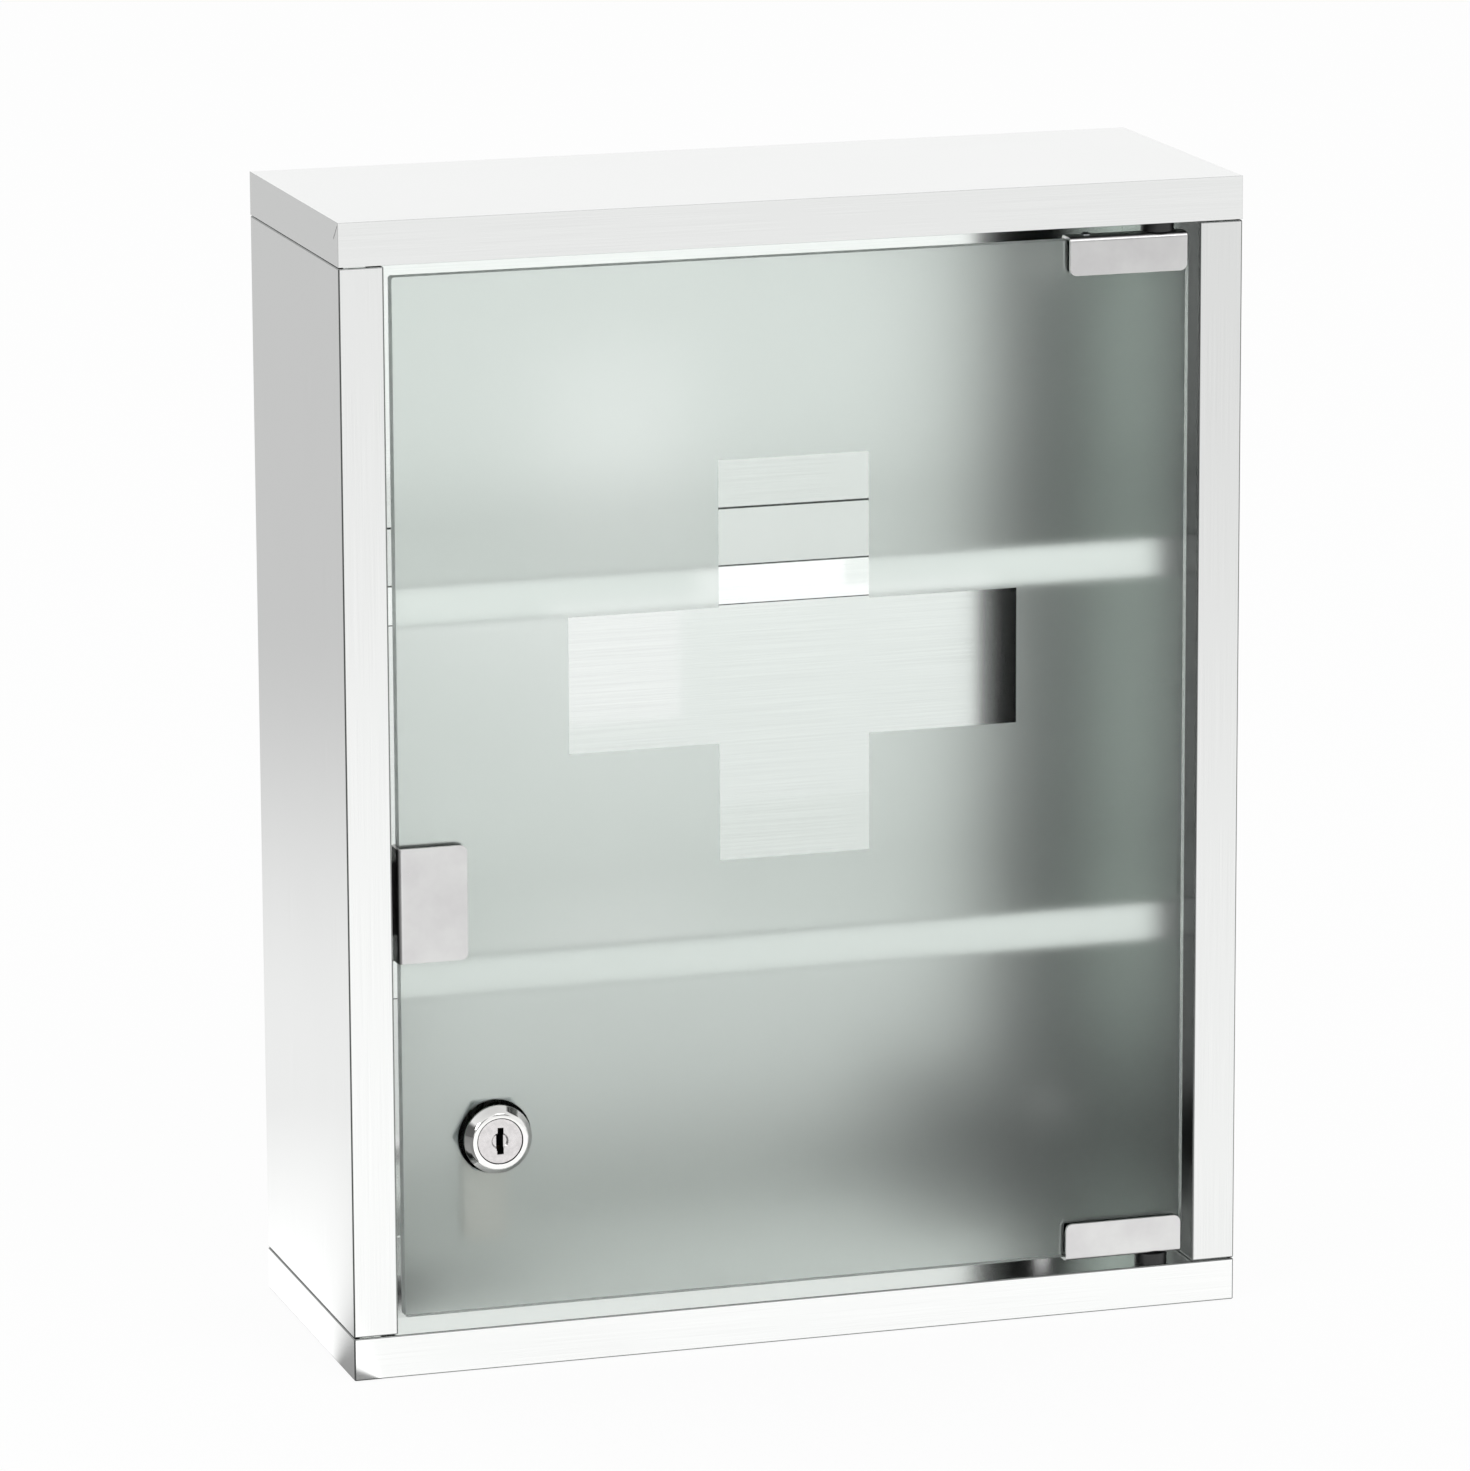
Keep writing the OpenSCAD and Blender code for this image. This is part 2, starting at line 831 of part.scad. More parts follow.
// The flat tumblers, held inside the plug's own outline
module lock_wafers() {
  wafer_h = plug_d - 1.6;
  color(brass)
    at_lock()
      each_wafer()
        translate([0, 0, -wafer_t])
          difference() {
            translate([-wafer_w / 2, -wafer_h / 2, 0])
              cube([wafer_w, wafer_h, wafer_t]);
            translate([-wafer_window_w / 2, -wafer_window_h / 2, -over])
              cube([wafer_window_w, wafer_window_h, wafer_t + 2 * over]);
          }
}

// The cam hangs down when open and points left, behind the return, when locked
module lock_cam() {
  color(steel_dark)
    at_lock()
      translate([0, 0, cam_z - cam_t])
        linear_extrude(cam_t)
          difference() {
            union() {
              circle(d = cam_w);
              translate([-cam_w / 2, -cam_reach + cam_w / 4])
                square([cam_w, cam_reach - cam_w / 4]);
              translate([-cam_w / 4, -cam_reach])
                square([cam_w / 2, cam_w / 4]);
              for (x = [-cam_w / 4, cam_w / 4])
                translate([x, -cam_reach + cam_w / 4])
                  circle(cam_w / 4);
            }
            square(tail_w + 2 * slide_fit, center = true);
          }
}

module cam_washer() {
  color(chrome)
    lock_ring(cam_z - cam_t - cam_washer_t, cam_washer_t, cam_screw_d + 2 * slide_fit, cam_washer_d);
}

module cam_screw() {
  color(chrome)
    at_lock()
      translate([0, 0, cam_z - cam_t - cam_washer_t])
        mirror([0, 0, 1])
          pan_screw(cam_screw_d, cam_t + cam_washer_t + 3, cam_head_d, cam_head_h);
}

// ---------- nodes ----------

top_shell();
bottom_shell();
left_side_panel();
right_side_panel();
back_panel();
upper_shelf();
lower_shelf();
top_pivot_bush();
bottom_pivot_bush();
catch_housing();
catch_magnet();
catch_screws();
door_glass();
top_hinge_clip();
bottom_hinge_clip();
top_hinge_pads();
bottom_hinge_pads();
top_pivot_pin();
bottom_pivot_pin();
hinge_clamp_screws();
hinge_height_screws();
handle_clip();
handle_pads();
handle_clamp_screws();
lock_housing();
lock_gasket();
lock_washer();
lock_nut();
lock_plug();
lock_wafers();
lock_cam();
cam_washer();
cam_screw();
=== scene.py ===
# %% [markdown]
# A small steel medicine cabinet with an etched glass door. The solids come in
# finished from the CAD side, in metres, with the origin under the middle of
# the base, +X to the right and +Y towards the wall. This script gives them
# rounded edges, real finishes, a studio and a camera.

# %% Load the solids
import json
import math
import bmesh
import bpy
from mathutils import Matrix, Vector


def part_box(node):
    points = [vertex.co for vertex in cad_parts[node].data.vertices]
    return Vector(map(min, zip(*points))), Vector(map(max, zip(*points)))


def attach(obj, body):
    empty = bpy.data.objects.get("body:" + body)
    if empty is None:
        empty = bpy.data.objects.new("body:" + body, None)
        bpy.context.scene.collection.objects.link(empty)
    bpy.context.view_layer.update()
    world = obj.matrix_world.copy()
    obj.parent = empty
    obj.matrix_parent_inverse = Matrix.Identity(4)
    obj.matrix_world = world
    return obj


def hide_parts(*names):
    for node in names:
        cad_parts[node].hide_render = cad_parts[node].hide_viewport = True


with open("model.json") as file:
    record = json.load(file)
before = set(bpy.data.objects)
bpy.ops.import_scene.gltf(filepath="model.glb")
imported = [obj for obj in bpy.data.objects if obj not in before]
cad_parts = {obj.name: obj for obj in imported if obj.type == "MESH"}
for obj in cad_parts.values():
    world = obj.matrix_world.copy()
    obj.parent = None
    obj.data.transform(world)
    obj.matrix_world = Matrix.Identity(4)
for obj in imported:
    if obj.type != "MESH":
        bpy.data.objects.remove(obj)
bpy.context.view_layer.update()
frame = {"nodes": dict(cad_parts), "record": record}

nodes = frame["nodes"]
body_of = {n: b for b, names in frame["record"]["behaviour"]["bodies"].items() for n in names}
MM = 0.001

# %% [markdown]
# Colours are picked as sRGB hex values, the way a paint chart gives
# them. The renderer works in linear light, so one function turns them over.

# %% From hex to linear light
def linear(hex_colour):
    parts = [int(hex_colour[i:i + 2], 16) / 255 for i in (1, 3, 5)]
    return [c / 12.92 if c <= 0.04045 else ((c + 0.055) / 1.055) ** 2.4 for c in parts] + [1.0]


print("mid grey is", [round(c, 3) for c in linear("#808080")])

# %% [markdown]
# A material is a small graph. One helper adds a node, gives it its settings
# and joins its inputs, so that each graph below reads from top to bottom. The
# same helper builds the Geometry Nodes trees further down.

# %% Add a node to a graph
def add(tree, kind, inputs=None, **settings):
    node = tree.nodes.new(kind)
    for name, value in settings.items():
        setattr(node, name, value)
    for name, value in (inputs or {}).items():
        if isinstance(value, bpy.types.NodeSocket):
            tree.links.new(value, node.inputs[name])
        else:
            node.inputs[name].default_value = value
    return node


def start_material(name):
    material = bpy.data.materials.new(name)
    material.use_nodes = True
    tree = material.node_tree
    tree.nodes.clear()
    output = add(tree, "ShaderNodeOutputMaterial")
    place = add(tree, "ShaderNodeTexCoord").outputs["Object"]
    return material, tree, output, place


def ramp(tree, factor, stops):
    node = add(tree, "ShaderNodeValToRGB", {"Fac": factor})
    for element, (position, colour) in zip(node.color_ramp.elements, stops):
        element.position = position
        element.color = colour
    for position, colour in stops[2:]:
        node.color_ramp.elements.new(position).color = colour
    return node.outputs["Color"]


def blend(tree, factor, first, second):
    node = add(tree, "ShaderNodeMix", {"Factor": factor}, data_type="RGBA")
    ends = [s for s in node.inputs if s.type == "RGBA"]
    for socket, value in zip(ends, (first, second)):
        if isinstance(value, bpy.types.NodeSocket):
            tree.links.new(value, socket)
        else:
            socket.default_value = value
    return [s for s in node.outputs if s.type == "RGBA"][0]


print("graph helpers ready")

# %% [markdown]
# The cabinet is AISI 304 stainless sheet, ground fine and then polished. What
# is left of the grinding is a hair-fine grain in one direction, which only
# softens reflections. Real scratches are about 0.05 mm wide, too fine to show
# here, so they are drawn 0.4 mm wide and 60 mm long, and very faintly. Thin
# sheet is never quite flat either: a slow wave in its surface bends
# reflections a little, and that is what makes it look like sheet. Inside the
# box the colour gets darker from the open part towards the hollows behind the
# front strips: that is painted shade. The right panel is painted a little
# darker than the left one, as painted shade.

# %% Polished stainless sheet
HAIR_LENGTH, HAIR_WIDTH, HAIR_DEPTH = 60 * MM, 0.4 * MM, 0.02 * MM
WAVE_LENGTH, WAVE_HEIGHT = 120 * MM, 2 * MM
HOLLOW_SHADE_Y, OPEN_Y = -42 * MM, -34 * MM


def sheet_steel(name, colour, shade, rough, grain="X", depth=0.05, wave=0.2, hollow_shade=None,
                hollow_shade_y=HOLLOW_SHADE_Y, open_y=OPEN_Y):
    material, tree, output, place = start_material(name)
    scale = [1 / HAIR_LENGTH if axis == grain else 1 / HAIR_WIDTH for axis in "XYZ"]
    hairs = add(tree, "ShaderNodeMapping", {"Vector": place, "Scale": scale})
    fine = add(tree, "ShaderNodeTexNoise",
               {"Vector": hairs.outputs["Vector"], "Scale": 1.0, "Detail": 2.0, "Roughness": 0.6})
    slow = add(tree, "ShaderNodeTexNoise",
               {"Vector": place, "Scale": 1 / WAVE_LENGTH, "Detail": 1.0, "Roughness": 0.4})
    tone = ramp(tree, fine.outputs["Fac"], [(0.3, linear(shade)), (0.7, linear(colour))])
    # Painted shade: towards the hollows the colour blends into a dark one.
    if hollow_shade:
        reach = add(tree, "ShaderNodeSeparateXYZ", {"Vector": place}).outputs["Y"]
        open_part = add(tree, "ShaderNodeMapRange",
                        {"Value": reach, "From Min": hollow_shade_y, "From Max": open_y})
        tone = blend(tree, open_part.outputs["Result"], linear(hollow_shade), tone)
    finish = add(tree, "ShaderNodeMapRange",
                 {"Value": slow.outputs["Fac"], "From Min": 0.3, "From Max": 0.7,
                  "To Min": rough * 0.9, "To Max": rough * 1.1})
    waves = add(tree, "ShaderNodeBump",
                {"Height": slow.outputs["Fac"], "Strength": wave, "Distance": WAVE_HEIGHT})
    relief = add(tree, "ShaderNodeBump",
                 {"Height": fine.outputs["Fac"], "Strength": depth, "Distance": HAIR_DEPTH,
                  "Normal": waves.outputs["Normal"]})
    shader = add(tree, "ShaderNodeBsdfPrincipled",
                 {"Base Color": tone, "Metallic": 1.0, "Roughness": finish.outputs["Result"],
                  "Normal": relief.outputs["Normal"]})
    tree.links.new(shader.outputs["BSDF"], output.inputs["Surface"])
    return material


shell_steel = sheet_steel("polished_stainless_shell", "#F4F5F4", "#EFF0EF", 0.20, "X")
side_steel = sheet_steel("polished_stainless_side", "#F2F3F2", "#EDEEED", 0.20, "Z")
# Painted shade: the right panel is a darker copy of the same steel.
right_steel_shaded = sheet_steel("polished_stainless_right_side_painted_shade", "#E8E9E8", "#E3E4E3", 0.20, "Z")
shelf_steel = sheet_steel("polished_stainless_shelf", "#F6F7F6", "#F1F2F1", 0.20, "X")
back_steel = sheet_steel("bright_annealed_stainless", "#EDEEED", "#E5E6E5", 0.11, "X", 0.04, 0.1)
floor_inside = sheet_steel("polished_tray_inside", "#FCFDFC", "#F9FAF9", 0.16, "X")
# Painted shade: the roof inside darkens towards the hollow behind the top strip.
roof_inside = sheet_steel("roof_inside_painted_hollow_shade", "#F0F2F1", "#E9EBEA", 0.24, "X",
                          hollow_shade="#3A3D3C")
# Painted shade: the side insides are a darker, green-tinted grey, darkest towards the front.
side_inside = sheet_steel("side_inside_painted_shade", "#A6B1AB", "#9BA7A0", 0.24, "Z",
                          hollow_shade="#262928", hollow_shade_y=-10 * MM, open_y=50 * MM)
print("sheets:", shell_steel.name, back_steel.name, floor_inside.name, side_inside.name)

# %% [markdown]
# Folds and cut edges get a darker copy of the steel: a painted dark
# reflection and shade, which draws the thin lines that outline a
# sheet-metal box.

# %% Painted dark folds and edges
# Painted dark reflection and shade: folds and cut edges are a darker copy of the steel.
fold_painted_dark = sheet_steel("stainless_fold_painted_dark", "#8A8C8B", "#7C7E7D", 0.20, "Y", 0.1)
print("folds:", fold_painted_dark.name)

# %% [markdown]
# The small metal parts are turned, pressed or bent, then plated or tumbled.
# Chrome on the lock's bezel is almost a mirror; the plug's face is satin
# nickel; screws, nut and washer are zinc plated, a little blue, and the cam is
# passivated, a little yellow. The wafers are brass, painted dark as painted
# shade, for they sit deep in the keyway. The clips are bent from tumbled
# stainless strip, which is satin all over with soft, slow changes of tone and
# no grain. One graph serves them all: a mottle for tone and roughness, and a
# fine grit for relief.

# %% Plated and satin metals
SPECK_SIZE, SPECK_DEPTH = 0.5 * MM, 0.02 * MM


def small_metal(name, colour, shade, rough, mottle_mm, grit=0.0):
    material, tree, output, place = start_material(name)
    mottle = add(tree, "ShaderNodeTexNoise",
                 {"Vector": place, "Scale": 1 / (mottle_mm * MM), "Detail": 3.0, "Roughness": 0.55})
    specks = add(tree, "ShaderNodeTexNoise",
                 {"Vector": place, "Scale": 1 / SPECK_SIZE, "Detail": 1.0})
    tone = ramp(tree, mottle.outputs["Fac"], [(0.35, linear(shade)), (0.65, linear(colour))])
    finish = add(tree, "ShaderNodeMapRange",
                 {"Value": mottle.outputs["Fac"], "To Min": rough * 0.8, "To Max": rough * 1.2})
    relief = add(tree, "ShaderNodeBump",
                 {"Height": specks.outputs["Fac"], "Strength": grit, "Distance": SPECK_DEPTH})
    shader = add(tree, "ShaderNodeBsdfPrincipled",
                 {"Base Color": tone, "Metallic": 1.0, "Roughness": finish.outputs["Result"],
                  "Normal": relief.outputs["Normal"]})
    tree.links.new(shader.outputs["BSDF"], output.inputs["Surface"])
    return material


clip_steel = small_metal("tumbled_stainless_strip", "#DADAD9", "#D0CFCF", 0.30, 14, 0.15)
chrome = small_metal("chrome_plated_zinc", "#F4F4F2", "#EFEFED", 0.06, 6)
nickel = small_metal("satin_nickel_plug", "#E0DDDD", "#D2CFCF", 0.26, 2, 0.4)
zinc = small_metal("zinc_plated_steel", "#C6CACC", "#B4B9BC", 0.26, 3)
pin_steel = small_metal("ground_steel_pin", "#C4C5C6", "#BBBCBD", 0.18, 3)
cam_steel = small_metal("passivated_steel_cam", "#DAD8D4", "#CCCAC6", 0.40, 5)
# Painted shade: the wafers sit deep in the keyway, so the brass is painted dark.
wafer_brass_shaded = small_metal("stamped_brass_painted_shade", "#3A3122", "#2A2317", 0.45, 3)
print("small metals:", clip_steel.name, chrome.name, nickel.name, zinc.name, pin_steel.name,
      wafer_brass_shaded.name)

# %% [markdown]
# Black parts are acetal bushes and washer, an ABS catch housing, rubber pads
# and a sintered ferrite magnet. A near black also stands for the shade inside
# the lock's keyway: painted shade. All are near black; what tells them apart
# is how they shine: acetal is waxy, moulded ABS has a fine spark texture,
# rubber is dull and ferrite is gritty.

# %% Blacks
GRIT_DEPTH = 0.05 * MM


def black_solid(name, colour, shade, rough, grit_mm, depth, specular=0.5):
    material, tree, output, place = start_material(name)
    grit = add(tree, "ShaderNodeTexNoise",
               {"Vector": place, "Scale": 1 / (grit_mm * MM), "Detail": 2.0, "Roughness": 0.6})
    tone = ramp(tree, grit.outputs["Fac"], [(0.3, linear(shade)), (0.7, linear(colour))])
    relief = add(tree, "ShaderNodeBump",
                 {"Height": grit.outputs["Fac"], "Strength": depth, "Distance": GRIT_DEPTH})
    finish = add(tree, "ShaderNodeMapRange",
                 {"Value": grit.outputs["Fac"], "To Min": rough - 0.08, "To Max": rough + 0.08})
    shader = add(tree, "ShaderNodeBsdfPrincipled",
                 {"Base Color": tone, "Roughness": finish.outputs["Result"],
                  "Normal": relief.outputs["Normal"], "Specular IOR Level": specular})
    tree.links.new(shader.outputs["BSDF"], output.inputs["Surface"])
    return material


acetal = black_solid("black_acetal", "#1C1D1D", "#151616", 0.38, 0.8, 0.1)
abs_black = black_solid("spark_textured_abs", "#2A2B2B", "#202121", 0.52, 0.5, 0.5)
rubber = black_solid("black_rubber_sheet", "#1A1B1B", "#121313", 0.68, 0.6, 0.4, 0.3)
ferrite = black_solid("sintered_ferrite", "#3C3D3F", "#2C2D2F", 0.6, 0.7, 0.6)
# Painted shade: near black for the inside of the keyway and the housing's recess.
keyway_shade_black = black_solid("keyway_painted_shade", "#0C0C0B", "#070707", 0.7, 0.6, 0.2, 0.2)
print("blacks:", acetal.name, abs_black.name, rubber.name, ferrite.name, keyway_shade_black.name)

# %% [markdown]
# The pane is soda-lime float glass, which is clear face on and green edge on,
# because light that runs along it passes through much more glass. A volume
# that absorbs red most gives both from one cause. Its back is acid etched:
# the surface is bitten into a dull, velvety skin that scatters what passes,
# most of it narrowly, so that near things keep their shape, and a quarter of it
# widely, so that far things melt together. It also throws a little of the
# light in front straight back, which veils what is dark behind it. The rim is
# ground, which scatters as well. A face attribute says where the glass is
# dull, so the cross stays clear. In the photo the pane mirrors next to
# nothing, as through a polarising filter, so its specular tint is dark.

# %% Etched and clear glass in one material
GLASS_IOR = 1.52
NARROW_SPREAD = (0.40, 0.43)
WIDE_SPREAD, WIDE_SHARE = 0.72, 0.25
VEIL = 0.07


def float_glass(name):
    material, tree, output, place = start_material(name)
    etched = add(tree, "ShaderNodeAttribute", attribute_name="etched").outputs["Fac"]
    cloud = add(tree, "ShaderNodeTexNoise",
                {"Vector": place, "Scale": 1 / WAVE_LENGTH, "Detail": 1.0})
    bite = add(tree, "ShaderNodeMapRange",
               {"Value": cloud.outputs["Fac"], "From Min": 0.3, "From Max": 0.7,
                "To Min": NARROW_SPREAD[0], "To Max": NARROW_SPREAD[1]})
    tint = blend(tree, etched, linear("#FFFFFF"), linear("#FAFFFC"))
    clear = add(tree, "ShaderNodeMath", {0: etched, 1: -VEIL, 2: 1.0}, operation="MULTIPLY_ADD")
    skins = []
    for spread in (bite.outputs["Result"], WIDE_SPREAD):
        rough = add(tree, "ShaderNodeMath", {0: etched, 1: spread}, operation="MULTIPLY")
        skins.append(add(tree, "ShaderNodeBsdfPrincipled",
                         {"Base Color": tint, "Roughness": rough.outputs["Value"], "IOR": GLASS_IOR,
                          "Transmission Weight": clear.outputs["Value"],
                          "Specular Tint": linear("#404040")}))
    wide = add(tree, "ShaderNodeMath", {0: etched, 1: WIDE_SHARE}, operation="MULTIPLY")
    shader = add(tree, "ShaderNodeMixShader", {"Fac": wide.outputs["Value"],
                                               1: skins[0].outputs["BSDF"],
                                               2: skins[1].outputs["BSDF"]})
    depth = add(tree, "ShaderNodeVolumeAbsorption",
                {"Color": linear("#A0D4C0"), "Density": 8.0})
    tree.links.new(shader.outputs["Shader"], output.inputs["Surface"])
    tree.links.new(depth.outputs["Volume"], output.inputs["Volume"])
    return material


glass = float_glass("etched_float_glass")
print("glass:", glass.name)

# %% [markdown]
# No real edge is perfectly sharp. A copy of each solid is merged into one
# skin, and a bevel rounds its edges, so that each catches its own line of
# light. Every edge gets its own share of the bevel's width, and the bevel may
# have a material of its own, by its place in the list of materials, which the
# casing uses for its painted dark fold lines. Triangles in one plane are joined
# first, except on the pane and the lock's housing. There a joined face would
# close round a bore: it shades unevenly, and its middle no longer tells where
# it lies.

# %% Rounded copies of the solids
WELD = 0.002 * MM
FLAT = math.radians(0.4)


def rounded_copy(node, width_mm, share=lambda edge: 1.0, sharp=28, segments=2, edge_material=-1,
                 join_flat=True):
    mesh = nodes[node].data.copy()
    mesh.materials.clear()
    work = bmesh.new()
    work.from_mesh(mesh)
    bmesh.ops.remove_doubles(work, verts=work.verts, dist=WELD)
    if join_flat:
        bmesh.ops.dissolve_limit(work, angle_limit=FLAT, verts=work.verts, edges=work.edges)
    weight = work.edges.layers.float.new("bevel_weight_edge")
    for edge in work.edges:
        if len(edge.link_faces) == 2 and edge.calc_face_angle() > math.radians(sharp):
            edge[weight] = share(edge)
            edge.smooth = False
    for face in work.faces:
        face.smooth = True
    work.to_mesh(mesh)
    work.free()
    piece = bpy.data.objects.new(node + "_rounded", mesh)
    bpy.context.scene.collection.objects.link(piece)
    bevel = piece.modifiers.new("edges", "BEVEL")
    bevel.limit_method = "WEIGHT"
    bevel.width = width_mm * MM
    bevel.segments = segments
    bevel.harden_normals = True
    bevel.material = edge_material
    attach(piece, body_of[node])
    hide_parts(node)
    return piece


def dress(piece, *materials):
    piece.data.materials.clear()
    for material in materials:
        piece.data.materials.append(material)


def finish_where(piece, place_in_list, test):
    count = 0
    for face in piece.data.polygons:
        if test(face):
            face.material_index = place_in_list
            count += 1
    return count


print("rounding helper ready")

# %% [markdown]
# The casing is folded from 1 mm sheet: two shells cap the ends, two panels
# close the sides, and each turns in behind the front. A fold lies between two
# broad faces; a cut edge always borders a face as narrow as the sheet is
# thick. That tells them apart, and folds get the bigger radius.

# %% Folds and cut edges
SHEET = 1 * MM
BROAD = 1.6 * SHEET
FOLD_R_MM = 0.8
CUT_SHARE = 0.15


def reach_from(edge, face):
    start, end = (v.co for v in edge.verts)
    along = (end - start).normalized()
    return max(((v.co - start) - along * (v.co - start).dot(along)).length for v in face.verts)


def fold_share(edge):
    if not edge.is_convex:
        return 0.0
    broad = all(reach_from(edge, face) > BROAD for face in edge.link_faces)
    return 1.0 if broad else CUT_SHARE


print("fold radius", FOLD_R_MM, "mm")

# %% [markdown]
# Only the outside of the casing is polished. The insides of the side panels
# are painted a darker grey, darkest towards the front, and the hollows behind
# the face strips darker too: painted shade, with the green tint of light that
# has passed the glass. It is what makes the gaps round the door and the right
# of the inside look dark.
# The back panel, the shelves and the bottom tray are bright sheet, because
# they are seen through the door. A face that lies on the casing's outer box
# is an outside, and every other face is an inside.

# %% Casing sheets
case_low, case_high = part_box("bottom_shell")[0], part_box("top_shell")[1]
INSIDE, FOLD, SHELF_FOLD = 1, 2, 1
SKIN_REACH = 0.05 * MM


def faces_inwards(face):
    near = [min(abs(face.center[i] - case_low[i]), abs(face.center[i] - case_high[i]))
            for i in range(3)]
    on_skin = any(near[i] < SKIN_REACH and abs(face.normal[i]) > 0.9 for i in range(3))
    return not on_skin


inside = 0
casing_finishes = {
    "top_shell": (shell_steel, roof_inside), "bottom_shell": (shell_steel, floor_inside),
    "left_side_panel": (side_steel, side_inside), "right_side_panel": (right_steel_shaded, side_inside),
}
for node, (outer, inner) in casing_finishes.items():
    # The bevels of folds and cut edges get the painted dark line.
    piece = rounded_copy(node, FOLD_R_MM, fold_share, segments=3, edge_material=FOLD)
    dress(piece, outer, inner, fold_painted_dark)
    inside += finish_where(piece, INSIDE, faces_inwards)
for node in ("upper_shelf", "lower_shelf"):
    piece = rounded_copy(node, FOLD_R_MM, fold_share, segments=3, edge_material=SHELF_FOLD)
    dress(piece, shelf_steel, fold_painted_dark)
dress(rounded_copy("back_panel", 0.15), back_steel)
print("casing from", list(case_low), "to", list(case_high), "with", inside, "inside faces")

# %% [markdown]
# The pane's rim is ground, with a narrow chamfer all round. The shallow step
# where the etch ends is left sharp.

# %% Door glass
pane_low, pane_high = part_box("door_glass")
ETCH_DEPTH = 0.1 * MM
CORNER_REACH = 1.1 * MM


def pane_share(edge):
    ends = [v.co for v in edge.verts]
    on_face = all(min(abs(p.y - pane_low.y), abs(p.y - pane_high.y)) < 1.2 * ETCH_DEPTH
                  for p in ends)
    level = abs(ends[0].y - ends[1].y) < 0.1 * ETCH_DEPTH
    at_rim = any(min(p.x - pane_low.x, pane_high.x - p.x, p.z - pane_low.z, pane_high.z - p.z)
                 < CORNER_REACH for p in ends)
    return 1.0 if on_face and level and at_rim else 0.0


def is_dull(face):
    on_etch = abs(face.center.y - (pane_high.y - ETCH_DEPTH)) < 0.2 * ETCH_DEPTH
    on_rim = abs(face.normal.y) < 0.5
    return on_rim or on_etch


pane = rounded_copy("door_glass", 0.4, pane_share, segments=2, join_flat=False)
etched = pane.data.attributes.new("etched", "FLOAT", "FACE")
for face in pane.data.polygons:
    etched.data[face.index].value = float(is_dull(face))
dress(pane, glass)
print("etched faces:", sum(d.value > 0.5 for d in etched.data))

# %% [markdown]
# Clips, bushes, pads and the lock are small turned or bent parts. Their
# shapes are right already, so they only get softened edges and their finishes.

# %% Small parts
small_parts = {
    "top_hinge_clip": (0.12, clip_steel), "bottom_hinge_clip": (0.12, clip_steel),
    "handle_clip": (0.12, clip_steel),
    "top_pivot_bush": (0.15, acetal), "bottom_pivot_bush": (0.15, acetal),
    "top_hinge_pads": (0.1, rubber), "bottom_hinge_pads": (0.1, rubber),
    "handle_pads": (0.1, rubber), "lock_gasket": (0.1, rubber),
    "top_pivot_pin": (0.15, pin_steel), "bottom_pivot_pin": (0.15, pin_steel),
    "catch_housing": (0.3, abs_black), "catch_magnet": (0.1, ferrite),
    "lock_washer": (0.1, acetal), "lock_nut": (0.2, zinc),
    "lock_wafers": (0.03, wafer_brass_shaded), "lock_cam": (0.2, cam_steel), "cam_washer": (0.08, zinc),
}
for node, (width, material) in small_parts.items():
    dress(rounded_copy(node, width), material)
print(len(small_parts), "small parts dressed")

# %% [markdown]
# The plug's keyway is deep and narrow, so hardly any light comes back out:
# its faces within the shaft and below the dish are painted near black, as
# painted shade, and the face that one looks at stays satin nickel. The recess
# that the plug's head turns in gets the same painted shade, and shows as a
# thin black ring.

# %% Lock plug and housing
plug_low, plug_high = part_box("lock_plug")
plug_x, plug_z = (plug_low.x + plug_high.x) / 2, (plug_low.z + plug_high.z) / 2
DISH_DEPTH = 0.6 * MM
BELOW_DISH = plug_low.y + 1.05 * DISH_DEPTH
SLOT_REACH = 5.6 * MM
RECESS_REACH = 8.2 * MM


def off_axis(face):
    return math.hypot(face.center.x - plug_x, face.center.z - plug_z)


def inside_keyway(face):
    return face.center.y > BELOW_DISH and off_axis(face) < SLOT_REACH


def inside_recess(face):
    return off_axis(face) < RECESS_REACH


plug = rounded_copy("lock_plug", 0.06)
# The second material is the keyway's painted shade.
dress(plug, nickel, keyway_shade_black)
housing = rounded_copy("lock_housing", 0.12, join_flat=False)
# The second material is the painted shade of the recess round the plug.
dress(housing, chrome, keyway_shade_black)
print("keyway faces:", finish_where(plug, 1, inside_keyway))
print("recess faces:", finish_where(housing, 1, inside_recess))

# %% [markdown]
# Pan-headed screws with a cross drive hold the clips, the catch and the cam.
# Eleven alike could be copied by hand, but a Geometry Nodes tree draws one
# from five named sizes and puts it on every point it is given. The head is a
# disc whose top droops towards its rim, so a wider head droops in step; a
# Boolean cuts the cross. Each screw stops at its own angle, from a fixed seed.

# %% A tree that draws screws on points
def start_tree(name, sizes):
    tree = bpy.data.node_groups.new(name, "GeometryNodeTree")
    tree.interface.new_socket("Geometry", in_out="INPUT", socket_type="NodeSocketGeometry")
    for size in sizes:
        tree.interface.new_socket(size, in_out="INPUT", socket_type="NodeSocketFloat")
    tree.interface.new_socket("Finish", in_out="INPUT", socket_type="NodeSocketMaterial")
    tree.interface.new_socket("Geometry", in_out="OUTPUT", socket_type="NodeSocketGeometry")
    return tree, add(tree, "NodeGroupInput").outputs


def end_tree(tree, geometry, finish):
    real = add(tree, "GeometryNodeRealizeInstances", {"Geometry": geometry})
    painted = add(tree, "GeometryNodeSetMaterial",
                  {"Geometry": real.outputs["Geometry"], "Material": finish})
    add(tree, "NodeGroupOutput", {"Geometry": painted.outputs["Geometry"]})
    return tree


def times(tree, a, b, operation="MULTIPLY"):
    return add(tree, "ShaderNodeMath", {0: a, 1: b}, operation=operation).outputs["Value"]


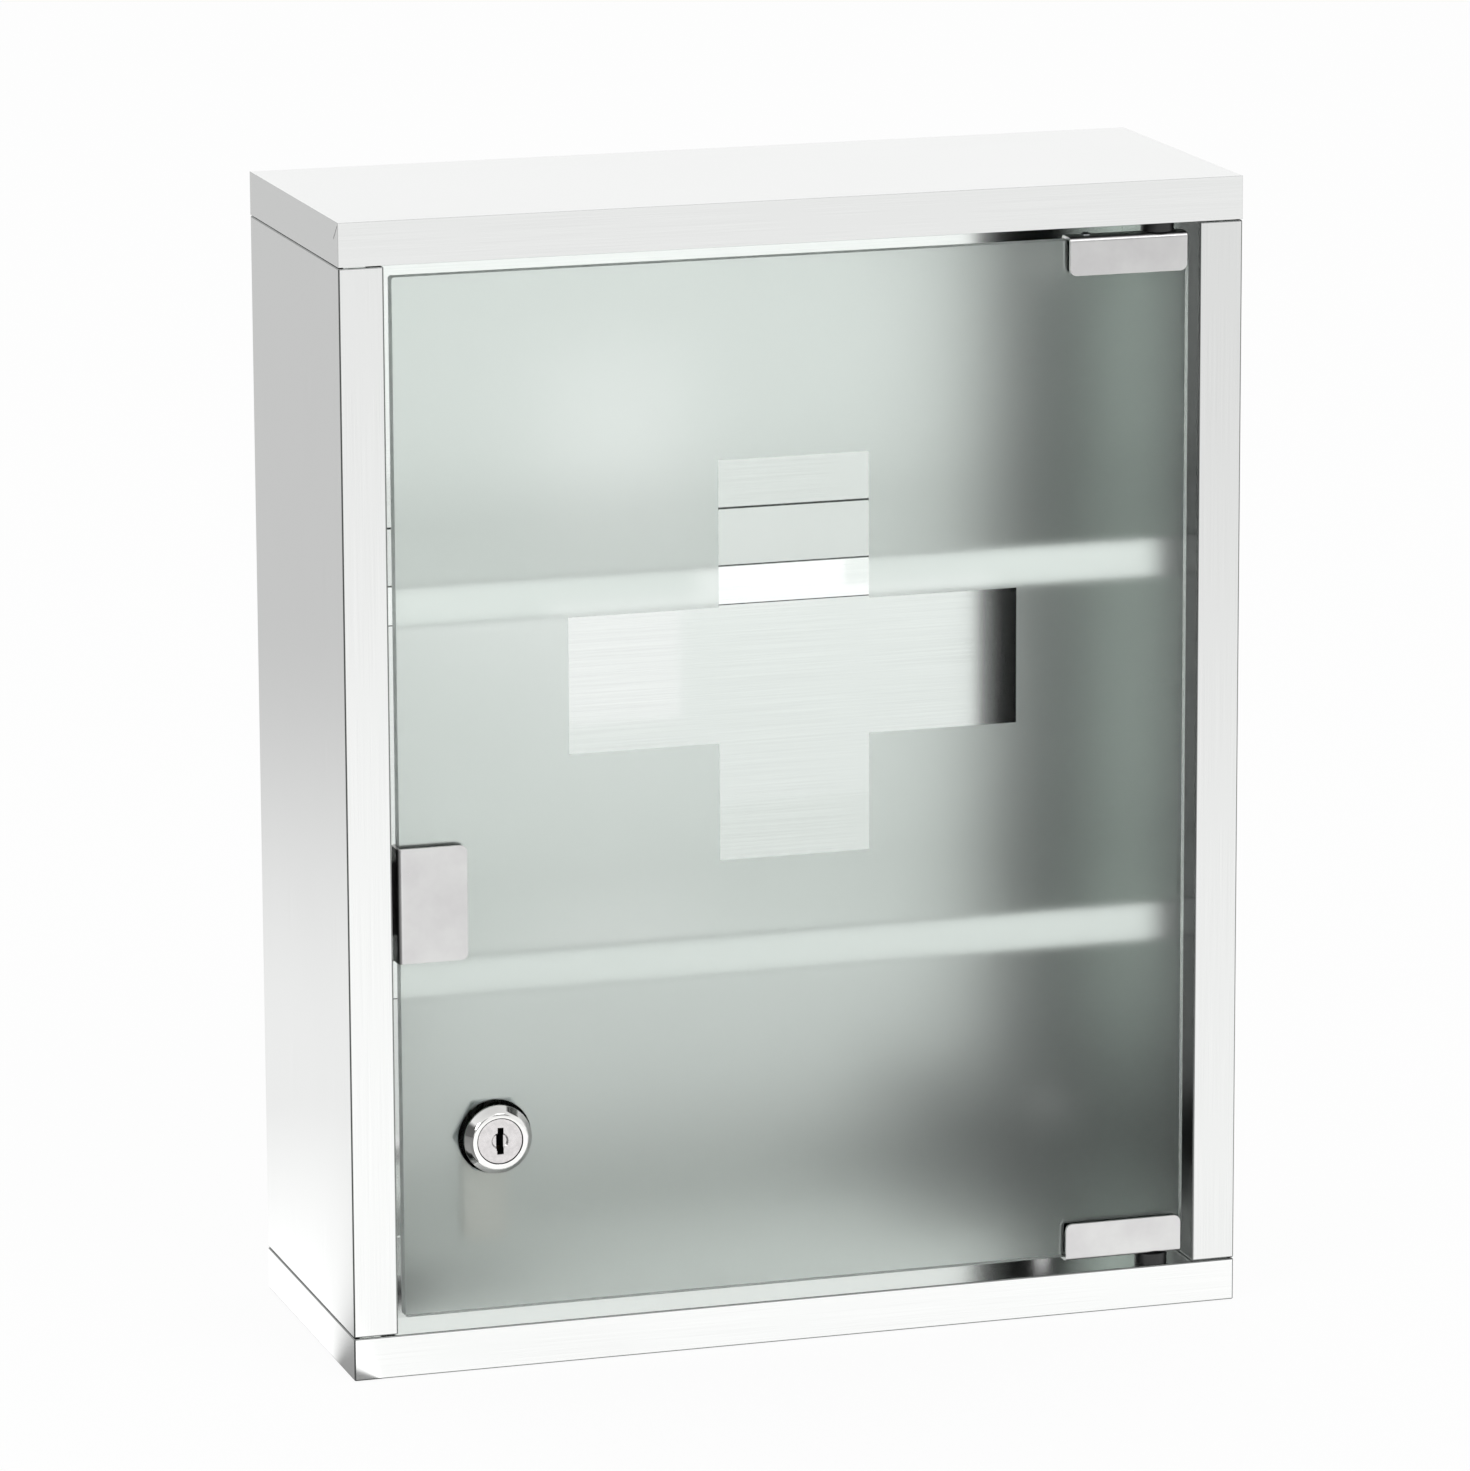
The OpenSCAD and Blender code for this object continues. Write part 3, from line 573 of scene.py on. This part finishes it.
HEAD_SIDES, HEAD_RINGS, SHANK_SIDES = 48, 6, 32
DROOP_POWER, DROOP_SHARE = 2.6, 0.55
DRIVE_SHARE = 0.56
SCREW_SEED = 7


def screw_tree():
    tree, given = start_tree("pan_head_screws", ["Head diameter", "Head height", "Shank diameter",
                                                 "Shank length", "Drive width"])
    head_r = times(tree, given["Head diameter"], 0.5)
    head = add(tree, "GeometryNodeMeshCylinder",
               {"Vertices": HEAD_SIDES, "Fill Segments": HEAD_RINGS, "Radius": head_r,
                "Depth": given["Head height"]},
               fill_type="TRIANGLE_FAN").outputs["Mesh"]
    spot = add(tree, "GeometryNodeInputPosition").outputs["Position"]
    parts = add(tree, "ShaderNodeSeparateXYZ", {"Vector": spot}).outputs
    flat = add(tree, "ShaderNodeCombineXYZ", {"X": parts["X"], "Y": parts["Y"]}).outputs["Vector"]
    out = add(tree, "ShaderNodeVectorMath", {0: flat}, operation="LENGTH").outputs["Value"]
    share = times(tree, times(tree, out, head_r, "DIVIDE"), DROOP_POWER, "POWER")
    droop = times(tree, times(tree, share, given["Head height"]), -DROOP_SHARE)
    shift = add(tree, "ShaderNodeCombineXYZ", {"Z": droop}).outputs["Vector"]
    upper = times(tree, parts["Z"], 0.0, "GREATER_THAN")
    domed = add(tree, "GeometryNodeSetPosition",
                {"Geometry": head, "Selection": upper, "Offset": shift}).outputs["Geometry"]
    lift = add(tree, "ShaderNodeCombineXYZ",
               {"Z": times(tree, given["Head height"], 0.5)}).outputs["Vector"]
    seated = add(tree, "GeometryNodeTransform",
                 {"Geometry": domed, "Translation": lift}).outputs["Geometry"]
    arm = add(tree, "ShaderNodeCombineXYZ",
              {"X": times(tree, given["Head diameter"], DRIVE_SHARE), "Y": given["Drive width"],
               "Z": given["Head height"]}).outputs["Vector"]
    slot_lift = add(tree, "ShaderNodeCombineXYZ", {"Z": given["Head height"]}).outputs["Vector"]
    cube = add(tree, "GeometryNodeMeshCube", {"Size": arm}).outputs["Mesh"]
    for quarter in (0.0, math.pi / 2):
        cutter = add(tree, "GeometryNodeTransform",
                     {"Geometry": cube, "Translation": slot_lift, "Rotation": (0.0, 0.0, quarter)})
        seated = add(tree, "GeometryNodeMeshBoolean",
                     {"Mesh 1": seated, "Mesh 2": cutter.outputs["Geometry"]},
                     operation="DIFFERENCE").outputs["Mesh"]
    shank = add(tree, "GeometryNodeMeshCylinder",
                {"Vertices": SHANK_SIDES, "Radius": times(tree, given["Shank diameter"], 0.5),
                 "Depth": given["Shank length"]}).outputs["Mesh"]
    sink = add(tree, "ShaderNodeCombineXYZ",
               {"Z": times(tree, given["Shank length"], -0.5)}).outputs["Vector"]
    lowered = add(tree, "GeometryNodeTransform", {"Geometry": shank, "Translation": sink})
    whole = add(tree, "GeometryNodeJoinGeometry", {"Geometry": seated})
    tree.links.new(lowered.outputs["Geometry"], whole.inputs["Geometry"])
    way = add(tree, "GeometryNodeInputNamedAttribute", {"Name": "way"}, data_type="FLOAT_VECTOR")
    aim = add(tree, "FunctionNodeAlignRotationToVector",
              {"Vector": way.outputs["Attribute"]}, axis="Z").outputs["Rotation"]
    angle = add(tree, "FunctionNodeRandomValue", {"Seed": SCREW_SEED}, data_type="FLOAT")
    for socket in angle.inputs:
        if socket.name == "Max" and socket.type == "VALUE":
            socket.default_value = math.pi / 2
    turned = [s for s in angle.outputs if s.type == "VALUE"][0]
    about = add(tree, "FunctionNodeAxisAngleToRotation", {"Axis": (0.0, 0.0, 1.0), "Angle": turned})
    both = add(tree, "FunctionNodeRotateRotation",
               {"Rotation": aim, "Rotate By": about.outputs["Rotation"]}, rotation_space="LOCAL")
    placed = add(tree, "GeometryNodeInstanceOnPoints",
                 {"Points": given["Geometry"], "Instance": whole.outputs["Geometry"],
                  "Rotation": both.outputs["Rotation"]})
    return end_tree(tree, placed.outputs["Instances"], given["Finish"])


screws = screw_tree()
print("screw tree has", len(screws.nodes), "nodes")

# %% [markdown]
# The tree needs points with a direction each. They are read from the solids:
# every loose island of a screw node is one screw, its head is at the end that
# its direction names, and the head's width is the island's width. What a tree
# draws is turned into a plain mesh, because the export drops live trees.

# %% Where the screws are
GROWN_SHARP = math.radians(32)


def islands(node):
    work = bmesh.new()
    work.from_mesh(nodes[node].data)
    bmesh.ops.remove_doubles(work, verts=work.verts, dist=WELD)
    left, boxes = set(work.verts), []
    while left:
        stack, group = [left.pop()], []
        while stack:
            vert = stack.pop()
            group.append(vert.co.copy())
            for edge in vert.link_edges:
                other = edge.other_vert(vert)
                if other in left:
                    left.remove(other)
                    stack.append(other)
        boxes.append([Vector(pick(p[i] for p in group) for i in range(3)) for pick in (min, max)])
    work.free()
    return sorted(boxes, key=lambda box: tuple(box[0]))


def grow(name, tree, points, ways, values):
    mesh = bpy.data.meshes.new(name)
    mesh.from_pydata(points, [], [])
    way = mesh.attributes.new("way", "FLOAT_VECTOR", "POINT")
    for item, direction in zip(way.data, ways):
        item.vector = direction
    seed = bpy.data.objects.new(name, mesh)
    bpy.context.scene.collection.objects.link(seed)
    modifier = seed.modifiers.new("grow", "NODES")
    modifier.node_group = tree
    for item in tree.interface.items_tree:
        if item.item_type == "SOCKET" and item.in_out == "INPUT" and item.name in values:
            modifier[item.identifier] = values[item.name]
    seen = seed.evaluated_get(bpy.context.evaluated_depsgraph_get())
    grown = bpy.data.meshes.new_from_object(seen)
    bpy.data.objects.remove(seed)
    grown.shade_smooth()
    grown.set_sharp_from_angle(angle=GROWN_SHARP)
    piece = bpy.data.objects.new(name, grown)
    bpy.context.scene.collection.objects.link(piece)
    return piece


print("clamp screws at", [[round(c, 4) for c in box[0]] for box in islands("hinge_clamp_screws")])

# %% [markdown]
# Which way a screw's head points follows from what it holds: clamp screws and
# the cam screw face the wall, the catch's screws face into the cabinet, and
# the small screws in the hinge clips' bends face up at the top and down below.

# %% Screws
WALLWARDS, RIGHTWARDS, UPWARDS = Vector((0, 1, 0)), Vector((1, 0, 0)), Vector((0, 0, 1))
# Per node: which way the head points, then head height, shank and drive in mm.
screw_sizes = {
    "hinge_clamp_screws": (WALLWARDS, 1.8, 3.0, 0.7),
    "handle_clamp_screws": (WALLWARDS, 1.8, 3.0, 0.7),
    "catch_screws": (RIGHTWARDS, 1.4, 3.0, 0.7), "cam_screw": (WALLWARDS, 2.4, 4.0, 0.9),
    "hinge_height_screws": (UPWARDS, 0.8, 2.0, 0.5),
}
middle_z = (case_low.z + case_high.z) / 2
for node, (axis, head_mm, shank_mm, drive_mm) in screw_sizes.items():
    points, ways = [], []
    for low, high in islands(node):
        middle, size = (low + high) / 2, high - low
        way = -axis if axis is UPWARDS and middle.z < middle_z else axis
        length = abs(size.dot(axis))
        points.append(middle + way * (length / 2 - head_mm * MM))
        ways.append(way)
    width = sorted(size)[1] if abs(size.dot(axis)) > sorted(size)[1] else sorted(size)[2]
    piece = grow(node + "_drawn", screws, points, ways, {
        "Head diameter": width, "Head height": head_mm * MM, "Shank diameter": shank_mm * MM,
        "Shank length": length - head_mm * MM, "Drive width": drive_mm * MM, "Finish": zinc,
    })
    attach(piece, body_of[node])
    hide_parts(node)
    print(node, len(points), "screws,", len(piece.data.polygons), "faces")

# %% [markdown]
# The lock's barrel is threaded for its nut. A thread is a ridge that follows a
# helix, so a second tree sweeps a small round section along a spiral whose
# turns come from the pitch and the threaded length. Only the stretch behind
# the nut shows, when the door stands open.

# %% Barrel thread
def thread_tree():
    tree, given = start_tree("barrel_thread", ["Radius", "Pitch", "Length", "Ridge"])
    spiral = add(tree, "GeometryNodeCurveSpiral",
                 {"Resolution": 48,
                  "Rotations": times(tree, given["Length"], given["Pitch"], "DIVIDE"),
                  "Start Radius": given["Radius"], "End Radius": given["Radius"],
                  "Height": given["Length"]}).outputs["Curve"]
    section = add(tree, "GeometryNodeCurvePrimitiveCircle",
                  {"Resolution": 8, "Radius": given["Ridge"]}).outputs["Curve"]
    ridge = add(tree, "GeometryNodeCurveToMesh",
                {"Curve": spiral, "Profile Curve": section, "Fill Caps": True}).outputs["Mesh"]
    return end_tree(tree, ridge, given["Finish"])


RIDGE, PITCH, BARREL_R = 0.25 * MM, 1 * MM, 9 * MM
thread_start, thread_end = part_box("lock_nut")[1].y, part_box("lock_housing")[1].y
thread = grow("barrel_thread", thread_tree(), [(0, 0, 0)], [WALLWARDS], {
    "Radius": BARREL_R - 0.4 * RIDGE, "Pitch": PITCH, "Ridge": RIDGE,
    "Length": thread_end - thread_start - 2 * RIDGE, "Finish": chrome,
})
thread.data.transform(Matrix.Translation((plug_x, thread_start + RIDGE, plug_z))
                      @ Matrix.Rotation(-math.pi / 2, 4, "X"))
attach(thread, body_of["lock_housing"])
print("thread:", len(thread.data.polygons), "faces")

# %% [markdown]
# The studio is a white paper floor and a soft white sky, and the camera sees
# both as pure white. Polished steel shows whatever is round it, so for
# reflections the paper gets a little darker away from the cabinet, and more so
# behind it, where less lamp light falls. A white card lies straight in front
# and a black one in front on the left: the upright bends show both, as a bright
# line next to a dark one. Light inside the box comes through the pane, and the
# paper nearest to the box lies in its shade. The levels are matched by tone
# to how the real steel and glass look. With white, a level of 1, as the
# limit, the inside came out too dark behind the etched pane. So rays through
# it see up to 1.43 on the far paper and 1.2 in the sky, and reflections see up
# to about 1.46 on a small part of the paper in front. That is more light than
# an even white room would give the glass and the bright steel.

# %% Floor
def span(tree, value, reach, levels, shape="LINEAR"):
    return add(tree, "ShaderNodeMapRange",
               {"Value": value, "From Min": reach[0], "From Max": reach[1],
                "To Min": levels[0], "To Max": levels[1]},
               interpolation_type=shape).outputs["Result"]


def mixed_value(tree, factor, first, second):
    rest = add(tree, "ShaderNodeMath", {0: 1.0, 1: factor}, operation="SUBTRACT").outputs["Value"]
    return times(tree, times(tree, rest, first), times(tree, factor, second), "ADD")


# Each row: where a change starts and ends, and the levels there. Places are
# metres from the middle, or the sine of a bearing for the two cards.
AHEAD_FADE = ((0.3, 1.9), (1.17, 0.91))
CONTACT_SHADE = ((0.06, 0.3), (0.97, 1.0))
WHITE_CARD = ((0.04, 0.16), (1.25, 1.0), "SMOOTHSTEP")
BLACK_CARD = ((-0.45, -0.25), (0.15, 1.0), "SMOOTHSTEP")
BEHIND_FADE = ((0.45, 1.25), (0.95, 0.61), "SMOOTHSTEP")
REAR_PART = ((-0.1, 0.3), (0.0, 1.0))
BOX_SHADE = ((0.12, 0.55), (0.84, 1.1), "SMOOTHSTEP")
FAR_PAPER = ((1.2, 1.5), (1.0, 1.3))
FRONT_LEFT_CORNER = (-0.15, -0.06, 0.0)
PAPER_HALF, PAPER_DROP = 7.0, 0.3 * MM
DIRECT_SHARE, GLOSSY_SHARE = 0.92, 0.94


def studio_floor():
    half = PAPER_HALF
    mesh = bpy.data.meshes.new("studio_floor")
    mesh.from_pydata([(-half, -half, 0), (half, -half, 0), (half, half, 0), (-half, half, 0)],
                     [], [(0, 1, 2, 3)])
    mesh.transform(Matrix.Translation((0, 0, -PAPER_DROP)))
    floor = bpy.data.objects.new("studio_floor", mesh)
    bpy.context.scene.collection.objects.link(floor)
    material, tree, output, place = start_material("matt_white_paper")
    path = add(tree, "ShaderNodeLightPath")
    away = add(tree, "ShaderNodeVectorMath", {0: place}, operation="LENGTH").outputs["Value"]
    wallwards = add(tree, "ShaderNodeSeparateXYZ", {"Vector": place}).outputs["Y"]
    corner = add(tree, "ShaderNodeVectorMath", {0: place, 1: FRONT_LEFT_CORNER},
                 operation="SUBTRACT")
    reach = add(tree, "ShaderNodeVectorMath", {0: corner.outputs["Vector"]}, operation="LENGTH")
    across = add(tree, "ShaderNodeSeparateXYZ", {"Vector": corner.outputs["Vector"]}).outputs["X"]
    bearing = times(tree, across, reach.outputs["Value"], "DIVIDE")
    ahead = times(tree, span(tree, away, *AHEAD_FADE), span(tree, away, *CONTACT_SHADE))
    for card in (WHITE_CARD, BLACK_CARD):
        ahead = times(tree, ahead, span(tree, bearing, *card))
    rear = span(tree, wallwards, *REAR_PART)
    mirrored = mixed_value(tree, rear, ahead, span(tree, away, *BEHIND_FADE))
    inside = times(tree, span(tree, away, *BOX_SHADE), span(tree, away, *FAR_PAPER))
    level = mixed_value(tree, path.outputs["Is Transmission Ray"], mirrored, inside)
    paper = add(tree, "ShaderNodeBsdfDiffuse", {"Color": linear("#F4F4F4")})
    white = add(tree, "ShaderNodeEmission", {"Color": linear("#FFFFFF"), "Strength": 1.0})
    shown = add(tree, "ShaderNodeEmission", {"Color": linear("#FFFFFF"), "Strength": level})
    direct = times(tree, path.outputs["Is Camera Ray"], path.outputs["Is Transmission Ray"],
                   "MAXIMUM")
    lit = add(tree, "ShaderNodeMixShader", {"Fac": times(tree, direct, DIRECT_SHARE),
                                            1: paper.outputs["BSDF"], 2: white.outputs["Emission"]})
    gloss = times(tree, path.outputs["Is Glossy Ray"], GLOSSY_SHARE)
    mixed = add(tree, "ShaderNodeMixShader", {"Fac": gloss, 1: lit.outputs["Shader"],
                                              2: shown.outputs["Emission"]})
    tree.links.new(mixed.outputs["Shader"], output.inputs["Surface"])
    mesh.materials.append(material)
    return floor


floor = studio_floor()
print("floor:", floor.name)

# %% [markdown]
# The sky lights everything evenly, so that colours come out about as they are
# written. Two softboxes add what an even sky can't: one on the left and one
# in front, high up. They draw the bright lines along the bends of the clips.
# In an all-white room chrome looks like paint, so photographers put up black
# flags. Here there are four, seen in reflections only: the camera itself with
# whoever stands behind it, one in front on the right for the top's front fold,
# one high on the right and one low in front on the left.

# %% Sky and lamps
# Each flag: its direction, its radius in degrees and its level.
FLAGS = [((-0.289, -0.932, 0.218), 15, 0.22), ((0.289, -0.918, 0.27), 10, 0.2),
         ((0.73, 0.09, 0.68), 14, 0.06), ((-0.93, -0.34, 0.12), 22, 0.12)]
FLAG_OUTER, FLAG_INNER = 1.3, 0.8
SKY_THROUGH_PANE, SKY_LIGHT = 1.2, 0.88


def flag(tree, way, towards, radius, darkness):
    facing = add(tree, "ShaderNodeVectorMath", {0: way, 1: towards}, operation="DOT_PRODUCT")
    soft = [math.cos(math.radians(radius * share)) for share in (FLAG_OUTER, FLAG_INNER)]
    return span(tree, facing.outputs["Value"], soft, (1.0, darkness), "SMOOTHSTEP")


def studio_sky():
    world = bpy.data.worlds.new("white_studio")
    bpy.context.scene.world = world
    world.use_nodes = True
    tree = world.node_tree
    tree.nodes.clear()
    output = add(tree, "ShaderNodeOutputWorld")
    way = add(tree, "ShaderNodeTexCoord").outputs["Generated"]
    height = add(tree, "ShaderNodeSeparateXYZ", {"Vector": way}).outputs["Z"]
    tone = ramp(tree, height, [(0.0, linear("#FFFFFF")), (1.0, linear("#D8D8D8")),
                               (0.5, linear("#F8F8F8"))])
    path = add(tree, "ShaderNodeLightPath")
    flags = 1.0
    for towards, radius, darkness in FLAGS:
        flags = times(tree, flag(tree, way, towards, radius, darkness), flags)
    level = mixed_value(tree, path.outputs["Is Transmission Ray"], flags, SKY_THROUGH_PANE)
    shown = add(tree, "ShaderNodeBackground", {"Color": tone, "Strength": level})
    soft = add(tree, "ShaderNodeBackground", {"Color": linear("#FFFFFF"), "Strength": SKY_LIGHT})
    white = add(tree, "ShaderNodeBackground", {"Color": linear("#FFFFFF"), "Strength": 1.0})
    sharp = times(tree, path.outputs["Is Glossy Ray"], path.outputs["Is Transmission Ray"],
                  "MAXIMUM")
    lit = add(tree, "ShaderNodeMixShader", {"Fac": sharp, 1: soft.outputs["Background"],
                                            2: shown.outputs["Background"]})
    mixed = add(tree, "ShaderNodeMixShader", {"Fac": path.outputs["Is Camera Ray"],
                                              1: lit.outputs["Shader"],
                                              2: white.outputs["Background"]})
    tree.links.new(mixed.outputs["Shader"], output.inputs["Surface"])
    return world


LAMP_SIZE, LAMP_WATTS = 0.8, 7.0
LAMP_AIM = Vector((0, 0, 0.2))


def soft_lamp(name, place):
    lamp = bpy.data.lights.new(name, "AREA")
    lamp.shape = "SQUARE"
    lamp.size = LAMP_SIZE
    lamp.energy = LAMP_WATTS
    thing = bpy.data.objects.new(name, lamp)
    thing.visible_transmission = False
    thing.location = place
    thing.rotation_euler = (LAMP_AIM - Vector(place)).to_track_quat("-Z", "Y").to_euler()
    bpy.context.scene.collection.objects.link(thing)
    return thing


studio_sky()
soft_lamp("left_softbox", (-1.8, -1.4, 1.2))
soft_lamp("front_softbox", (0.5, -1.7, 1.9))
print("sky and lamps set")

# %% [markdown]
# The camera was found by fitting the corners of a box to the photograph:
# about 2.9 m away, a long lens, 17 degrees to the left and 13 degrees above.

# %% Camera
PHOTO_H = 1471
FOCAL_PX = 8335
SENSOR_MM = 36
CAMERA_PLACE = Vector((-0.843944, -2.707979, 0.834291))
yaw, pitch, roll = (math.radians(a) for a in (17.225, 12.562, 0.263))
forward = Vector((math.sin(yaw) * math.cos(pitch), math.cos(yaw) * math.cos(pitch),
                  -math.sin(pitch)))
level_right = Vector((math.cos(yaw), -math.sin(yaw), 0))
level_down = forward.cross(level_right)
right = math.cos(roll) * level_right + math.sin(roll) * level_down
down = math.cos(roll) * level_down - math.sin(roll) * level_right
camera_data = bpy.data.cameras.new("camera")
camera_data.sensor_width = SENSOR_MM
camera_data.lens = FOCAL_PX * SENSOR_MM / PHOTO_H
camera_data.clip_end = 50
camera = bpy.data.objects.new("camera", camera_data)
turn = Matrix((right, -down, -forward)).transposed().to_4x4()
camera.matrix_world = Matrix.Translation(CAMERA_PLACE) @ turn
bpy.context.scene.collection.objects.link(camera)
bpy.context.scene.camera = camera
bpy.context.scene.view_settings.view_transform = "Standard"
print("lens", round(camera_data.lens, 2), "mm")
